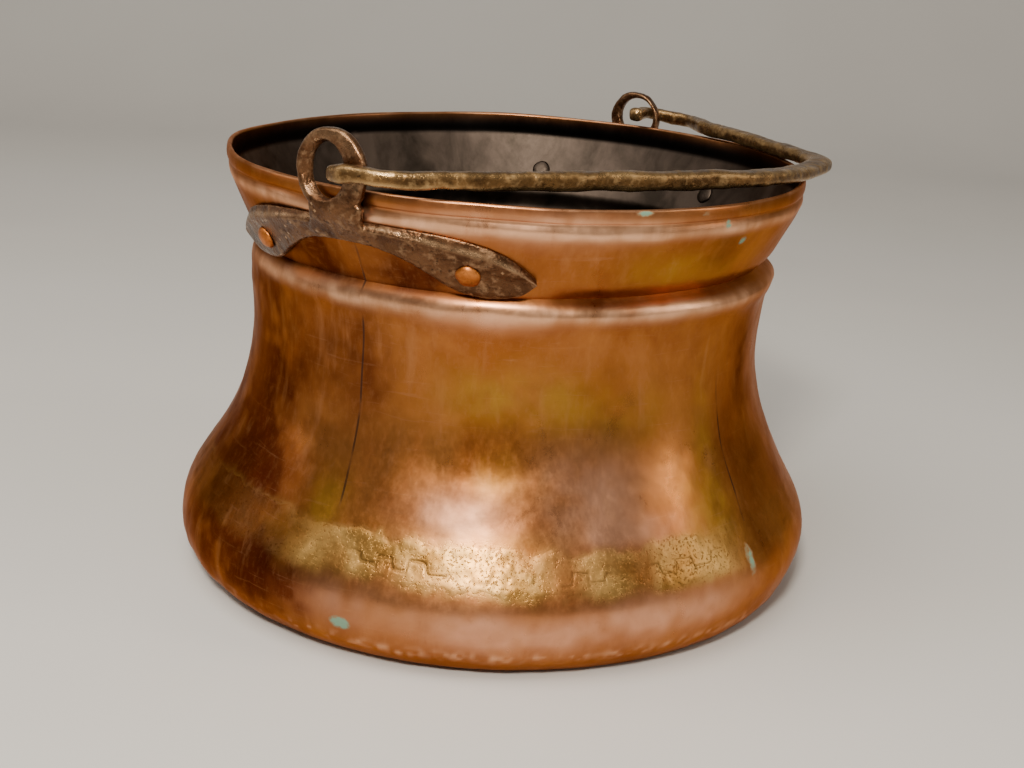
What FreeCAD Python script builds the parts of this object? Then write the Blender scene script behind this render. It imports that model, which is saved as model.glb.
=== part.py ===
import FreeCAD, Part
import math
import os
from FreeCAD import Vector

# Bail-handled copper cauldron, hand made from brazed sheet.
# Frame: origin at the middle of the base, +Z up, the bail's hinge line along Y.
# The bail lies folded down over the rim towards +X.  All sizes in millimetres.

SHEET = 1.6            # thickness of the copper sheet
RIM_HEIGHT = 201.4     # top of the rolled rim
BASE_FLAT_R = 130.0    # radius of the flat part of the base

# Outer meridians, as (radius, height), from the base to the rim.
PAN_TOP = 47.6         # where the bottom pan ends at the cramped seam
PAN_SIDE = [(BASE_FLAT_R, 0.0), (140.5, 1.5), (147.4, 6.6), (152.2, 14.0),
            (154.8, 23.0), (154.4, 32.0), (151.4, 40.5), (147.4, PAN_TOP)]
WALL_FOOT = 48.8       # where the wall sheets start, above the pan
WALL_BODY = [(146.7, WALL_FOOT), (142.9, 55.4), (134.4, 71.7), (127.2, 88.1),
             (123.0, 105.4), (121.8, 122.7), (123.0, 138.0), (124.4, 145.5)]
WALL_BEAD = [(124.4, 145.5), (126.3, 151.6), (125.9, 156.4), (122.7, 160.8)]
WALL_NECK = [(122.7, 160.8), (136.4, 188.6)]
WALL_SHOULDER = [(136.4, 188.6), (137.2, 191.4), (136.6, 194.6)]
HEM_STEP = 0.9         # how far the folded hem stands out from the shoulder
HEM_FOOT = 195.4       # lower edge of the folded hem

# Brazed seams.
LEFT_SEAM_DEG = -89.0  # vertical seam under the front ear
RIGHT_SEAM_DEG = -8.0  # vertical seam towards +X
SEAM_WIDTH_DEG = 1.3   # angle that each vertical seam's braze fills
BRAZE_SKIN = 0.55      # thickness of the spelter band over the cramped seam
BRAZE_LOW = 37.5       # lower edge of the spelter band
BRAZE_HIGH = 58.5      # upper edge of the spelter band
TOOTH_DEPTH = 6.0      # depth of the dovetail notches in both edges
TOOTH_COUNT = 30       # dovetails round the pot

# Ears: an eye above the rim on a strap with two leaf-shaped arms.
EAR_GAP = 0.08         # clearance between the strap and the neck
STRAP = 3.4            # strap thickness
# Each eye's outside and hole are circles: (middle x, middle height, radius).
FRONT_EYE = (-2.6, RIM_HEIGHT + 7.3, 17.5)
FRONT_HOLE = (-5.6, RIM_HEIGHT + 7.3, 10.8)
BACK_EYE = (-6.0, RIM_HEIGHT + 2.8, 14.7)
BACK_HOLE = (-4.0, RIM_HEIGHT + 4.4, 10.0)
EYE_INNER_FACE = 138.6  # distance of the eye's inner face from the axis
EYE_THICK = 4.4
FRONT_STEM = (-13.5, 11.5)  # left and right edge of the stem, along x
BACK_STEM = (-16.5, 4.5)
# Half outline of the strap in its own tangent plane: distance from the middle and height.
LEAF_TOP = [(0.0, 189.0), (29.0, 188.6), (48.0, 186.6), (60.0, 183.2), (68.0, 177.6), (74.0, 169.4)]
LEAF_LOW = [(74.0, 169.4), (67.0, 163.6), (57.0, 161.4), (45.0, 163.4), (33.0, 171.4),
            (22.0, 177.6), (0.0, 180.8)]

# Rivets: one in each leaf.
RIVET_X = 50.3
RIVET_Z = 172.3
RIVET_SHANK_R = 2.8
RIVET_HEAD_R = 5.2
RIVET_HEAD_H = 2.6
RIVET_CLEARANCE = 0.05
RIVET_SEAT = 0.18      # the flat head's lift off the curved strap
BURR_HEAD_R = 5.5
BURR_HEAD_H = 1.8

# Bail: a forged bar.  Stations are (x, y, height above the rim, width, depth).
PIN_TIP_Y = 126.0
ARM_Y = 148.0
BAIL_FRONT = [(0.0, -PIN_TIP_Y, 6.8, 7.2, 7.2), (0.0, -133.0, 6.8, 6.2, 6.2),
              (0.0, -140.0, 6.9, 6.2, 6.2), (2.2, -145.6, 7.3, 6.6, 6.6),
              (8.0, -ARM_Y, 8.2, 6.8, 6.8), (16.0, -ARM_Y, 8.9, 6.8, 6.8),
              (25.0, -147.0, 8.7, 6.6, 6.8), (35.0, -139.2, 8.1, 6.6, 6.8),
              (45.0, -127.0, 7.8, 6.8, 7.2), (57.6, -111.0, 7.5, 7.2, 7.6),
              (71.7, -94.2, 7.2, 7.6, 8.0), (84.8, -76.0, 7.0, 8.0, 8.2),
              (98.5, -57.2, 6.7, 8.4, 8.2), (111.8, -36.2, 6.3, 9.0, 7.8),
              (124.0, -12.1, 5.6, 10.0, 7.0)]
BAIL_GRIP = [(130.2, 20.0, 4.5, 11.6, 6.4), (129.8, 50.0, 3.8, 12.2, 6.2),
             (127.6, 66.0, 3.6, 12.0, 6.2), (121.0, 77.0, 3.5, 11.4, 6.2)]
BAIL_BACK = [(110.0, 85.6, 3.6, 10.2, 6.2), (96.0, 95.3, 3.8, 9.0, 6.6),
             (68.0, 113.0, 4.3, 7.8, 7.0), (41.0, 131.0, 4.6, 7.0, 6.8),
             (33.0, 139.4, 4.5, 6.8, 6.6), (25.0, 146.4, 4.5, 6.6, 6.6),
             (14.0, ARM_Y, 4.8, 6.6, 6.6), (3.6, 146.8, 6.0, 6.4, 6.6),
             (0.0, 140.5, 6.8, 6.2, 6.2), (0.0, 133.0, 6.8, 6.2, 6.2),
             (0.0, PIN_TIP_Y, 6.8, 7.2, 7.2)]
BAIL_SECTIONS = 84     # cross-sections lofted along the bar


def vec(point):
    """A point of a meridian, as a vector in the XZ plane."""
    return Vector(point[0], 0.0, point[1])


def offset_meridian(points, distance):
    """The same meridian moved inwards, with mitred corners."""
    moved = []
    last = len(points) - 1
    for i, point in enumerate(points):
        before = vec(points[max(i - 1, 0)])
        after = vec(points[min(i + 1, last)])
        here = vec(point)
        into = (here - before).normalize() if i > 0 else (after - here).normalize()
        out = (after - here).normalize() if i < last else into
        along = (into + out).normalize()
        mitre = distance / max(along.dot(into), 0.5)
        moved.append((point[0] - along.z * mitre, point[1] + along.x * mitre))
    return moved


def curve(points):
    """A smooth edge through meridian points."""
    spline = Part.BSplineCurve()
    spline.interpolate([vec(p) for p in points])
    return spline.toShape()


def line(start, end):
    """A straight edge between two meridian points."""
    return Part.makeLine(vec(start), vec(end))


def revolve(edges, start_deg=0.0, sweep_deg=360.0):
    """Turn a closed outline of edges about the vertical axis."""
    face = Part.Face(Part.Wire(Part.__sortEdges__(edges)))
    face.rotate(Vector(0, 0, 0), Vector(0, 0, 1), start_deg)
    return face.revolve(Vector(0, 0, 0), Vector(0, 0, 1), sweep_deg)


def bottom_pan():
    """Flat base and the curved side up to the cramped seam."""
    inner = offset_meridian(PAN_SIDE, SHEET)
    edges = [curve(PAN_SIDE), line(PAN_SIDE[-1], inner[-1]), curve(inner)]
    edges.append(line(inner[0], (0.0, SHEET)))
    edges.append(line((0.0, SHEET), (0.0, 0.0)))
    edges.append(line((0.0, 0.0), PAN_SIDE[0]))
    return revolve(edges)


def wall_outline():
    """Section through the wall: body, bead, flared neck, shoulder and folded hem."""
    groups = [WALL_BODY, WALL_BEAD, WALL_NECK, WALL_SHOULDER]
    joined = list(WALL_BODY)
    for group in groups[1:]:
        joined += group[1:]
    inner_all = offset_meridian(joined, SHEET)
    edges = []
    first = 0
    for group in groups:
        last = first + len(group) - 1
        edges.append(curve(joined[first:last + 1]))
        edges.append(curve(inner_all[first:last + 1]))
        first = last
    top_outer = joined[-1]
    top_inner = inner_all[-1]
    step = top_outer[0] + HEM_STEP
    lip_r = (step - top_inner[0]) / 2
    shoulder_z = RIM_HEIGHT - lip_r
    middle = Vector(top_inner[0] + lip_r, 0.0, RIM_HEIGHT)
    edges.append(line(top_outer, (step, HEM_FOOT)))
    edges.append(line((step, HEM_FOOT), (step, shoulder_z)))
    edges.append(Part.Arc(vec((step, shoulder_z)), middle, vec((top_inner[0], shoulder_z))).toShape())
    edges.append(line((top_inner[0], shoulder_z), top_inner))
    edges.append(line(joined[0], inner_all[0]))
    return edges


def wall_sheet(start_deg, end_deg):
    """One wall sheet between two vertical seams, with the rivet holes through it."""
    half = SEAM_WIDTH_DEG / 2
    sheet = revolve(wall_outline(), start_deg + half, end_deg - start_deg - SEAM_WIDTH_DEG)
    return sheet.cut(Part.makeCompound(rivet_holes()))


def seam_braze(middle_deg):
    """Spelter that fills a vertical seam, filed flush with the sheets."""
    return revolve(wall_outline(), middle_deg - SEAM_WIDTH_DEG / 2, SEAM_WIDTH_DEG)


def skin_over(points):
    """A thin layer on the outside of a meridian."""
    over = offset_meridian(points, -BRAZE_SKIN)
    return revolve([curve(points), curve(over), line(points[0], over[0]), line(points[-1], over[-1])])


def pan_braze():
    """Spelter band over the cramped seam: a filled gap and a skin with notched edges."""
    pan_end = PAN_SIDE[-1]
    wall_end = WALL_BODY[0]
    pan_out = offset_meridian(PAN_SIDE, -BRAZE_SKIN)[-1]
    wall_out = offset_meridian(WALL_BODY, -BRAZE_SKIN)[0]
    pan_in = offset_meridian(PAN_SIDE, SHEET)[-1]
    wall_in = offset_meridian(WALL_BODY, SHEET)[0]
    filler = revolve([line(pan_out, wall_out), line(wall_out, wall_end), line(wall_end, wall_in),
                      line(wall_in, pan_in), line(pan_in, pan_end), line(pan_end, pan_out)])
    reach = PAN_SIDE[-1][0] + 20
    keep = Part.makeCylinder(reach, BRAZE_HIGH - BRAZE_LOW, Vector(0, 0, BRAZE_LOW))
    skin = skin_over(PAN_SIDE).fuse([skin_over(WALL_BODY), filler]).common(keep)
    return skin.cut(Part.makeCompound(tooth_notches()))


def tooth_notches():
    """Blocks that cut the dovetail pattern into both edges of the spelter band."""
    pitch = 360.0 / TOOTH_COUNT
    width = math.radians(pitch * 0.45) * PAN_SIDE[-1][0]
    notches = []
    for i in range(TOOTH_COUNT):
        for bottom, shift in ((BRAZE_LOW - 1, 0.0), (BRAZE_HIGH - TOOTH_DEPTH, pitch / 2)):
            block = Part.makeBox(40, width, TOOTH_DEPTH + 1, Vector(130, -width / 2, bottom))
            block.rotate(Vector(0, 0, 0), Vector(0, 0, 1), i * pitch + shift)
            notches.append(block)
    return notches


def neck_shell(inner_gap, thickness):
    """A conical shell that hugs the flared neck."""
    low, high = WALL_NECK
    slope = (high[0] - low[0]) / (high[1] - low[1])
    reach = 1.0 / math.cos(math.atan(slope))
    bottom = 155.0
    height = 40.0
    radius_low = low[0] + (bottom - low[1]) * slope
    radius_high = radius_low + height * slope
    base = Vector(0, 0, bottom)
    outer_add = (inner_gap + thickness) * reach
    inner_add = inner_gap * reach
    outer = Part.makeCone(radius_low + outer_add, radius_high + outer_add, height, base)
    inner = Part.makeCone(radius_low + inner_add, radius_high + inner_add, height, base)
    return outer.cut(inner)


def leaf_face():
    """The strap's outline as a face in the plane y = 0."""
    edges = []
    for side in (1, -1):
        for half in (LEAF_TOP, LEAF_LOW):
            spline = Part.BSplineCurve()
            spline.interpolate([Vector(side * x, 0.0, z) for x, z in half])
            edges.append(spline.toShape())
    return Part.Face(Part.Wire(Part.__sortEdges__(edges)))


def ear(side, eye, opening, stem_edges):
    """Forged ear: eye, stem and strap.  side is -1 for the front and +1 for the back."""
    prism = leaf_face().extrude(Vector(0, side * 200, 0))
    strap = neck_shell(EAR_GAP, STRAP).common(prism)
    near = side * EYE_INNER_FACE
    away = Vector(0, side, 0)
    disc = Part.makeCylinder(eye[2], EYE_THICK, Vector(eye[0], near, eye[1]), away)
    hole_start = Vector(opening[0], near - side * EYE_THICK, opening[1])
    hole = Part.makeCylinder(opening[2], EYE_THICK * 3, hole_start, away)
    stem_low = LEAF_TOP[0][1] - 4.0
    stem_high = opening[1] - opening[2]
    stem = Part.makeBox(stem_edges[1] - stem_edges[0], EYE_THICK, stem_high - stem_low)
    low_y = min(near, near + side * EYE_THICK)
    stem.translate(Vector(stem_edges[0], low_y, stem_low))
    solid = strap.fuse([disc, stem]).cut(hole)
    solid = solid.cut(Part.makeCompound(rivet_holes()))
    return solid.removeSplitter()


def rivet_places():
    """Seat and outward axis of each rivet, keyed by its node name."""
    low, high = WALL_NECK
    slope = (high[0] - low[0]) / (high[1] - low[1])
    radius = low[0] + (RIVET_Z - low[1]) * slope
    places = {}
    for end, side in (("front", -1), ("back", 1)):
        for hand, x_sign in (("left", -1), ("right", 1)):
            x = x_sign * RIVET_X
            y = side * math.sqrt(radius ** 2 - x ** 2)
            axis = Vector(x / radius, y / radius, -slope).normalize()
            places["rivet_" + end + "_" + hand] = (Vector(x, y, RIVET_Z), axis)
    return places


def rivet_holes():
    """Cylinders through the wall and the strap, one for each rivet."""
    holes = []
    for seat, axis in rivet_places().values():
        start = seat - axis * (SHEET * 3)
        holes.append(Part.makeCylinder(RIVET_SHANK_R + RIVET_CLEARANCE, SHEET * 6 + STRAP, start, axis))
    return holes


def cap(radius, height):
    """A domed cap standing on the plane z = 0."""
    ball_r = (radius ** 2 + height ** 2) / (2 * height)
    ball = Part.makeSphere(ball_r, Vector(0, 0, height - ball_r))
    return ball.common(Part.makeCylinder(radius + 1, height + 1))


def rivet(seat, axis):
    """Copper rivet: domed head outside the strap, hammered head inside the wall."""
    top = STRAP + EAR_GAP + RIVET_SEAT
    bottom = -SHEET - RIVET_SEAT
    shank = Part.makeCylinder(RIVET_SHANK_R, top - bottom, Vector(0, 0, bottom))
    head = cap(RIVET_HEAD_R, RIVET_HEAD_H)
    head.translate(Vector(0, 0, top))
    burr = cap(BURR_HEAD_R, BURR_HEAD_H)
    burr.rotate(Vector(0, 0, 0), Vector(1, 0, 0), 180)
    burr.translate(Vector(0, 0, bottom))
    solid = shank.fuse([head, burr])
    solid.Placement = FreeCAD.Placement(seat, FreeCAD.Rotation(Vector(0, 0, 1), axis))
    return solid


def bar_section(centre, tangent, width, depth):
    """Rounded cross-section of the bail, square to its path."""
    side = tangent.cross(Vector(0, 0, 1)).normalize()
    up = side.cross(tangent).normalize()
    points = []
    for i in range(12):
        angle = 2 * math.pi * i / 12
        c = math.cos(angle)
        s = math.sin(angle)
        full = (abs(c) ** 2.6 + abs(s) ** 2.6) ** (-1 / 2.6)
        points.append(centre + side * (c * full * width / 2) + up * (s * full * depth / 2))
    spline = Part.BSplineCurve()
    spline.interpolate(points, PeriodicFlag=True)
    return Part.Wire(spline.toShape())


def blend(values, place):
    """Linear value at a fractional place in a list."""
    index = min(int(place), len(values) - 2)
    part = place - index
    return values[index] * (1 - part) + values[index + 1] * part


def bail():
    """Forged bail: pins turned in through both eyes, tapering arms and a flattened grip."""
    stations = BAIL_FRONT + BAIL_GRIP + BAIL_BACK
    path = Part.BSplineCurve()
    count = len(stations)
    steps = [float(i) for i in range(count)]
    path.interpolate([Vector(x, y, RIM_HEIGHT + z) for x, y, z, w, d in stations], Parameters=steps)
    widths = [s[3] for s in stations]
    depths = [s[4] for s in stations]
    sections = []
    for i in range(BAIL_SECTIONS):
        place = (count - 1) * i / (BAIL_SECTIONS - 1)
        tangent = Vector(path.tangent(place)[0])
        sections.append(bar_section(path.value(place), tangent, blend(widths, place), blend(depths, place)))
    return Part.makeLoft(sections, True, True)


def export(name, shape):
    """Write one piece, and say its volume."""
    solids = shape.Solids
    solid = solids[0] if len(solids) == 1 else Part.makeCompound(solids)
    solid.exportStep("parts/" + name + ".step")
    print(name, "solids", len(solids), "valid", solid.isValid(), "volume", round(solid.Volume))


def main():
    os.makedirs("parts", exist_ok=True)
    export("bottom_pan", bottom_pan())
    export("pan_braze", pan_braze())
    export("front_wall_sheet", wall_sheet(LEFT_SEAM_DEG, RIGHT_SEAM_DEG))
    export("main_wall_sheet", wall_sheet(RIGHT_SEAM_DEG, LEFT_SEAM_DEG + 360))
    export("left_seam_braze", seam_braze(LEFT_SEAM_DEG))
    export("right_seam_braze", seam_braze(RIGHT_SEAM_DEG))
    export("front_ear", ear(-1, FRONT_EYE, FRONT_HOLE, FRONT_STEM))
    export("back_ear", ear(1, BACK_EYE, BACK_HOLE, BACK_STEM))
    for name, (seat, axis) in rivet_places().items():
        export(name, rivet(seat, axis))
    export("bail", bail())


main()
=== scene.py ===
import math

import bmesh
import bpy
import numpy as np
from mathutils import Matrix, Vector


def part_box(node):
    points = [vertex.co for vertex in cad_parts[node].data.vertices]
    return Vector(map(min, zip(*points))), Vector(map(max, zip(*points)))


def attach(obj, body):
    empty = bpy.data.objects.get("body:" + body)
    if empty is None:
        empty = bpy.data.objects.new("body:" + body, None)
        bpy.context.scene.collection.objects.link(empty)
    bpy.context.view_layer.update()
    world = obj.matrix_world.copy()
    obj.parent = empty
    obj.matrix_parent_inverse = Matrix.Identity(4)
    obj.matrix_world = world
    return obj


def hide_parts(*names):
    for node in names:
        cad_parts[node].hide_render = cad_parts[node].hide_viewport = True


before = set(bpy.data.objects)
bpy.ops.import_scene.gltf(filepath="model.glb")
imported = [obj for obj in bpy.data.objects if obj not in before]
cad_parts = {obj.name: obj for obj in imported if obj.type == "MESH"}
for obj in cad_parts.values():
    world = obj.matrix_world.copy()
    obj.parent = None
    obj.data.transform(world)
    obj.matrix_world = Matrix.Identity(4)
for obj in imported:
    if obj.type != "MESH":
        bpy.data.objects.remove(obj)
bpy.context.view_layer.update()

# A hand-made copper cauldron with a forged bail.  The CAD frame gives the rim, the seam, the belly and
# where the ears and rivets are; the outlines and the bail's route below repeat the CAD part's own.
# Meshes are worked out in millimetres and scaled to metres when they are made.

MM = 0.001
LATTICE = np.random.default_rng(11).uniform(-1.0, 1.0, (40, 40, 40))


# ---------------------------------------------------------------- the frame, in millimetres

def box_mm(node):
    """Lowest and highest corner of a CAD node, in millimetres."""
    low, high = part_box(node)
    return np.array(low) / MM, np.array(high) / MM


RIM_Z = box_mm("main_wall_sheet")[1][2]
SEAM_Z = box_mm("main_wall_sheet")[0][2]
BELLY_R = box_mm("bottom_pan")[1][0]
SHEET = 1.6
SIDE_R = 135.0    # mean radius of the side, for turning angles into lengths
LEFT_SEAM = math.radians(-89.0)
RIGHT_SEAM = math.radians(-8.0)
SEAM_HALF = math.radians(0.22)

# Meridians as (radius, height), from the base to the rim.
PAN_LINE = [(0.0, 0.0), (60.0, 0.0), (110.0, 0.0), (130.0, 0.1), (140.6, 1.3), (147.2, 6.2),
            (150.6, 10.6), (BELLY_R - 2.8, 14.2), (BELLY_R - 0.5, 23.0), (BELLY_R - 0.7, 32.0),
            (151.4, 40.5), (147.2, SEAM_Z)]
BODY_LINE = [(147.2, SEAM_Z), (142.9, 55.4), (134.4, 71.7), (127.2, 88.1), (123.0, 105.4), (121.8, 122.7),
             (122.6, 138.0), (123.7, 145.0), (125.5, 150.4), (125.9, 153.6), (125.0, 157.2), (122.6, 160.8)]
NECK_LINE = [(122.6, 160.8), (129.5, 174.4), (135.9, 187.4), (137.3, 191.2), (136.7, 195.0)]
HEM_STEP = 0.9
HEM_FOOT = RIM_Z - 6.0


def smooth_line(points, step):
    """Points about a step apart along a smooth curve through the given ones."""
    pts = np.array(points, float)
    gaps = np.sqrt(np.linalg.norm(np.diff(pts, axis=0), axis=1))
    knots = np.concatenate([[0.0], np.cumsum(gaps)])
    slopes = np.gradient(pts, knots, axis=0)
    fine = np.linspace(0.0, knots[-1], 60 * len(pts))
    seg = np.clip(np.searchsorted(knots, fine, side="right") - 1, 0, len(pts) - 2)
    width = knots[seg + 1] - knots[seg]
    t = ((fine - knots[seg]) / width)[:, None]
    width = width[:, None]
    curve = ((2 * t**3 - 3 * t**2 + 1) * pts[seg] + (t**3 - 2 * t**2 + t) * width * slopes[seg]
             + (3 * t**2 - 2 * t**3) * pts[seg + 1] + (t**3 - t**2) * width * slopes[seg + 1])
    walked = np.concatenate([[0.0], np.cumsum(np.linalg.norm(np.diff(curve, axis=0), axis=1))])
    count = max(int(round(walked[-1] / step)), 2) + 1
    even = np.linspace(0.0, walked[-1], count)
    return np.stack([np.interp(even, walked, curve[:, k]) for k in range(pts.shape[1])], axis=1)


def offset_line(line, distance):
    """The line moved to its left by a distance: inwards, for a meridian drawn upwards."""
    along = np.gradient(line, axis=0)
    along /= np.linalg.norm(along, axis=1)[:, None]
    return line + np.stack([-along[:, 1], along[:, 0]], axis=1) * distance


def lattice_noise(points, size):
    """Smooth noise from -1 to 1 with features about a size across."""
    q = points / size + 500.0
    cell = np.floor(q).astype(int)
    f = q - cell
    f = f * f * (3 - 2 * f)
    total = np.zeros(len(points))
    for corner in np.ndindex(2, 2, 2):
        index = (cell + corner) % LATTICE.shape[0]
        weight = np.prod(np.where(np.array(corner) == 1, f, 1 - f), axis=1)
        total += weight * LATTICE[index[:, 0], index[:, 1], index[:, 2]]
    return total


def bump_at(theta, z, spot, reach):
    """A smooth patch round a spot (angle in degrees, height), with its own reach each way in mm."""
    turn = (theta - math.radians(spot[0]) + math.pi) % (2 * math.pi) - math.pi
    return np.exp(-(((turn * SIDE_R) / reach[0]) ** 2 + ((z - spot[1]) / reach[1]) ** 2))


def smoothstep(low, high, x):
    """0 below low, 1 above high, smooth in between."""
    t = np.clip((x - low) / (high - low), 0.0, 1.0)
    return t * t * (3 - 2 * t)


def under_strap(theta, z):
    """1 where an ear's strap lies on the neck, fading to 0 round it."""
    turn = np.abs((np.abs(theta) - math.pi / 2 + math.pi) % (2 * math.pi) - math.pi)
    side = 1 - smoothstep(math.radians(36), math.radians(46), turn)
    return side * smoothstep(150, 158, z) * (1 - smoothstep(190, 196, z))


# The bead stands out most on one side and nearly dies away on the other.
BEAD_FULL = math.radians(20)
BEAD_SWING = 0.9
PINCH_SWING = 2.5
# The foot bulges to one side, and the neck is pressed in on that side.
LEAN_TO = math.radians(-150)
LEAN = 2.6
PRESSED_AT = math.radians(-151)

# Larger single dents: angle, height, half width, half height, depth.
DENTS = [(-52, 20, 14, 7, -0.7), (-44, 27, 9, 5, -0.5), (-20, 34, 16, 9, -0.8), (-75, 96, 22, 12, -0.6),
         (-33, 70, 12, 18, 0.5), (-105, 60, 20, 14, -0.8), (-28, 176, 10, 6, -0.6),
         (-45, 197, 12, 5, -0.6), (-12, 60, 10, 16, -0.5), (60, 80, 22, 20, -0.8),
         (150, 90, 26, 16, -0.9), (200, 40, 18, 12, -0.8), (110, 30, 16, 10, -0.6),
         (-160, 110, 20, 22, -0.7), (20, 110, 18, 14, -0.5)]


def dents(radius, theta, z):
    """Radial and vertical unevenness of the hand-worked sheet, in mm."""
    # Broad waves, small dents and hammer marks all over, deepest at the foot's edge.
    points = np.stack([radius * np.cos(theta), radius * np.sin(theta), z], axis=1)
    quiet = 1 - under_strap(theta, z)
    wide = lattice_noise(points, 52.0) * 0.85 + lattice_noise(points + 71, 26.0) * 0.42
    small = lattice_noise(points + 33, 11.0) * 0.13 + lattice_noise(points + 9, 5.2) * 0.045
    low_edge = np.exp(-((z - 9) / 8.0) ** 2)
    hammered = lattice_noise(points + 55, 7.5) * (0.10 + 0.30 * low_edge)
    radial = (wide + small + hammered) * quiet
    # The rim, the bead below the neck and the pinch over it wander round the pot.
    around = np.stack([60 * np.cos(theta), 60 * np.sin(theta), np.zeros_like(z)], axis=1)
    rim = smoothstep(176, 200, z)
    radial += rim * lattice_noise(around, 24.0) * 0.7 * quiet
    bead = np.exp(-((z - 153.0) / 6.0) ** 2)
    radial += bead * (lattice_noise(around + 17, 9.0) * 0.5 + BEAD_SWING * np.cos(theta - BEAD_FULL)) * quiet
    pinch = np.exp(-((z - 160.5) / 3.6) ** 2)
    radial -= pinch * PINCH_SWING * (0.35 + 0.65 * np.cos(theta - BEAD_FULL)) * quiet
    # The foot leans, and the neck and belly are pressed in.
    radial += LEAN * np.cos(theta - LEAN_TO) * np.exp(-((z - 12) / 14.0) ** 2)
    pressed = np.exp(-(((theta - PRESSED_AT + math.pi) % (2 * math.pi) - math.pi) / math.radians(34)) ** 2)
    radial -= pressed * (4.0 * smoothstep(138, 158, z) - 1.4 * smoothstep(185, 200, z)) * quiet
    radial -= pressed * 1.8 * np.exp(-((z - 72) / 16.0) ** 2)
    # Creases and rim rise and fall, but the rim stays clear of the bail that lies on it.
    vertical = bead * lattice_noise(around + 41, 12.0) * 1.1 * quiet
    shoulder = np.exp(-((z - 190.5) / 4.0) ** 2)
    vertical += shoulder * lattice_noise(around + 83, 11.0) * 0.9 * quiet
    bail_side = smoothstep(-0.2, 0.1, theta) * (1 - smoothstep(0.95, 1.2, theta))
    lift = lattice_noise(around + 29, 26.0) * 1.0
    vertical += rim * np.where(lift > 0, lift * (1 - bail_side), lift) * 0.9
    for angle, height, wide_mm, tall_mm, depth in DENTS:
        radial += bump_at(theta, z, (angle, height), (wide_mm, tall_mm)) * depth * quiet
    return radial, vertical


# ---------------------------------------------------------------- meshes

def make_object(name, verts, faces):
    """A smooth-shaded mesh object in metres from millimetre points."""
    mesh = bpy.data.meshes.new(name)
    mesh.from_pydata((np.asarray(verts) * MM).tolist(), [], faces)
    mesh.validate()
    mesh.polygons.foreach_set("use_smooth", [True] * len(mesh.polygons))
    piece = bpy.data.objects.new(name, mesh)
    bpy.context.scene.collection.objects.link(piece)
    return piece


def grid_faces(rows, columns, close_rows=False, close_columns=False):
    """Quads over a grid of points that is stored row by row."""
    faces = []
    row_count = rows if close_rows else rows - 1
    column_count = columns if close_columns else columns - 1
    for i in range(row_count):
        a = i * columns
        b = ((i + 1) % rows) * columns
        for j in range(column_count):
            k = (j + 1) % columns
            faces.append((a + j, b + j, b + k, a + k))
    return faces


def points_of(piece, field="co"):
    """A piece's points, or their normals, as rows of an array."""
    values = np.zeros(len(piece.data.vertices) * 3)
    piece.data.vertices.foreach_get(field, values)
    return values.reshape(-1, 3)


def set_attribute(piece, name, values):
    """A named number on every point, for the materials."""
    layer = piece.data.attributes.new(name, "FLOAT", "POINT")
    layer.data.foreach_set("value", np.asarray(values, np.float32))


# Edges that turn more than this, such as the cut ends of a sheet, stay crisp.
SHARP_DEG = 50


def shell_piece(name, loop, thetas, closed, outer_count, seam_dip=None):
    """Sweep a closed section loop of (radius, height) round the axis and dent it.

    The first outer_count points of the loop are the outside; the rest are the lining.
    """
    columns = len(loop)
    rows = len(thetas)
    theta = np.repeat(thetas, columns)
    radius = np.tile(loop[:, 0], rows)
    z = np.tile(loop[:, 1], rows)
    radial, vertical = dents(np.maximum(radius, 20.0), theta, z)
    fade = smoothstep(20.0, 120.0, radius)
    flat = smoothstep(0.2, 3.0, z)
    if seam_dip is not None:
        radial = radial - seam_dip(theta, z)
    r = radius + radial * fade * flat
    height = np.maximum(z + vertical, 0.0)
    verts = np.stack([r * np.cos(theta), r * np.sin(theta), height], axis=1)
    faces = grid_faces(rows, columns, close_rows=closed, close_columns=True)
    if not closed:
        faces.append(tuple(range(columns - 1, -1, -1)))
        faces.append(tuple(range((rows - 1) * columns, rows * columns)))
    piece = make_object(name, verts, faces)
    piece.data.set_sharp_from_angle(angle=math.radians(SHARP_DEG))
    inside = np.tile((np.arange(columns) >= outer_count).astype(float), rows)
    set_attribute(piece, "lining", inside * (1 - smoothstep(196.0, 197.5, z)))
    # Painted shade and dark reflection: a near-black band on the lining high inside the neck, weaker at the
    # hem's top.
    shade = smoothstep(189.5, 191.5, z) * (1 - 0.30 * smoothstep(194.5, 196.5, z))
    set_attribute(piece, "painted_neck_shade", inside * shade * (1 - 0.6 * smoothstep(200.2, 201.2, z)))
    return piece, theta, z


def hem_line():
    """The folded hem's outside, up and over the rim to the lining."""
    foot_r = NECK_LINE[-1][0] + HEM_STEP
    inner_r = NECK_LINE[-1][0] - SHEET
    half = (foot_r - inner_r) / 2
    side = [(NECK_LINE[-1][0] + 0.1, HEM_FOOT - 0.1), (foot_r - 0.15, HEM_FOOT + 0.25),
            (foot_r + 0.1, HEM_FOOT + 1.2), (foot_r + 0.15, HEM_FOOT + 2.8), (foot_r, RIM_Z - half)]
    turns = np.linspace(0.0, math.pi, 9)[1:-1]
    over = [(inner_r + half + half * math.cos(a), RIM_Z - half + half * math.sin(a)) for a in turns]
    return np.array(side + over + [(inner_r, RIM_Z - half)])


def theta_steps(start, end, step_deg=0.42):
    """Angles from start to end at about an even step."""
    count = max(int(round(math.degrees(end - start) / step_deg)), 2)
    return np.linspace(start, end, count + 1)


def seam_groove(theta, z):
    """How far the sheets dip beside the vertical seams."""
    dip = 0.0
    for seam in (LEFT_SEAM, RIGHT_SEAM):
        turn = (theta - seam + math.pi) % (2 * math.pi) - math.pi
        dip = dip + 0.06 * np.exp(-((turn * 130.0) / 1.8) ** 2)
    return dip * smoothstep(SEAM_Z + 20, SEAM_Z + 40, z)


def seam_wander(z):
    """Sideways wander of a hand-cut seam, in radians."""
    return 0.003 * np.sin(z / 23.0) + 0.0015 * np.sin(z / 5.3 + 1.0)


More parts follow.
